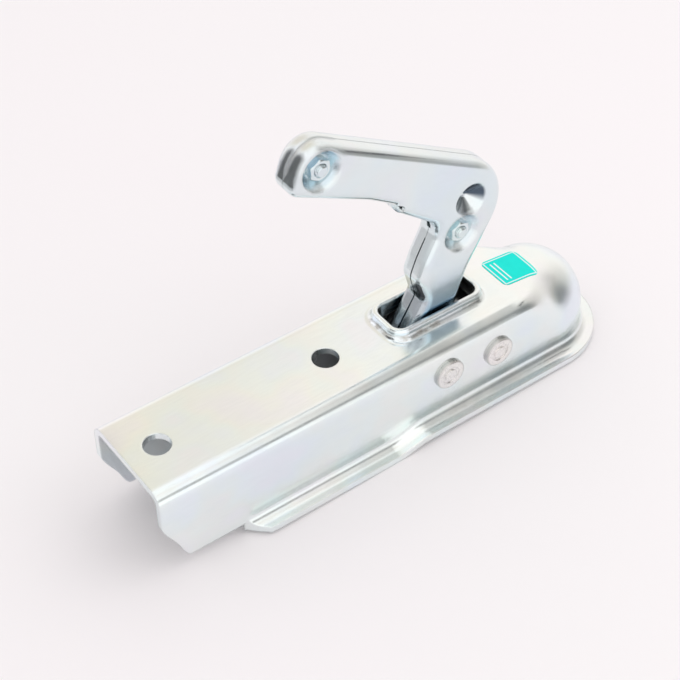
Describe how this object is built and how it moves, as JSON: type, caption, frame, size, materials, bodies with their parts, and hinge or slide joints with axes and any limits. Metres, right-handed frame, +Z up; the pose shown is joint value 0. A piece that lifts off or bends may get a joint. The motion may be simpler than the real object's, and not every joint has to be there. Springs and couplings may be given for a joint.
{
  "type": "trailer coupling head",
  "caption": "Pressed-steel trailer coupling head: drawbar channel, ball dome with side flange, hinged lever handle and a locking jaw that swings under the tow ball.",
  "frame": {"origin": "centre of the ball socket", "axes": "+X towards the nose of the coupling, +Z up, +Y to its left"},
  "size_m": [0.2757, 0.0744, 0.1854],
  "materials": {
    "plated_housing": "bright zinc plating",
    "plated_handle": "bright zinc plating",
    "rivet_steel": "satin",
    "fastener_zinc": "blue zinc plating",
    "inner_steel": "satin",
    "spring_steel": "satin",
    "jaw_steel": "zinc plated forging"
  },
  "bodies": {
    "housing": {"housing": "plated_housing", "handle_pivot_rivet": "rivet_steel", "jaw_pivot_rivet": "rivet_steel", "handle_spacer_left": "inner_steel", "handle_spacer_right": "inner_steel", "jaw_spacer_left": "inner_steel", "jaw_spacer_right": "inner_steel"},
    "handle": {"handle_half_left": "plated_handle", "handle_half_right": "plated_handle", "handle_pivot_bush": "inner_steel", "cam_pin": "inner_steel", "grip_bolt": "fastener_zinc", "grip_washer": "fastener_zinc", "grip_nut": "fastener_zinc", "leg_bolt": "fastener_zinc", "leg_washer": "fastener_zinc", "leg_nut": "fastener_zinc", "closing_spring_left": "spring_steel", "closing_spring_right": "spring_steel"},
    "jaw": {"locking_jaw": "jaw_steel", "jaw_bush": "inner_steel"}
  },
  "joints": [
    {"name": "handle_hinge", "type": "hinge", "parent": "housing", "child": "handle", "pos_m": [-0.0745, 0, 0.01365], "axis": [0, -1, 0], "range_deg": [0, 34]},
    {"name": "jaw_hinge", "type": "hinge", "parent": "housing", "child": "jaw", "pos_m": [-0.0432, 0, 0.01095], "axis": [0, -1, 0], "range_deg": [0, 11.4]}
  ],
  "couplings": [
    {"joint": "jaw_hinge", "follows": "handle_hinge", "ratio": 0.33333}
  ]
}
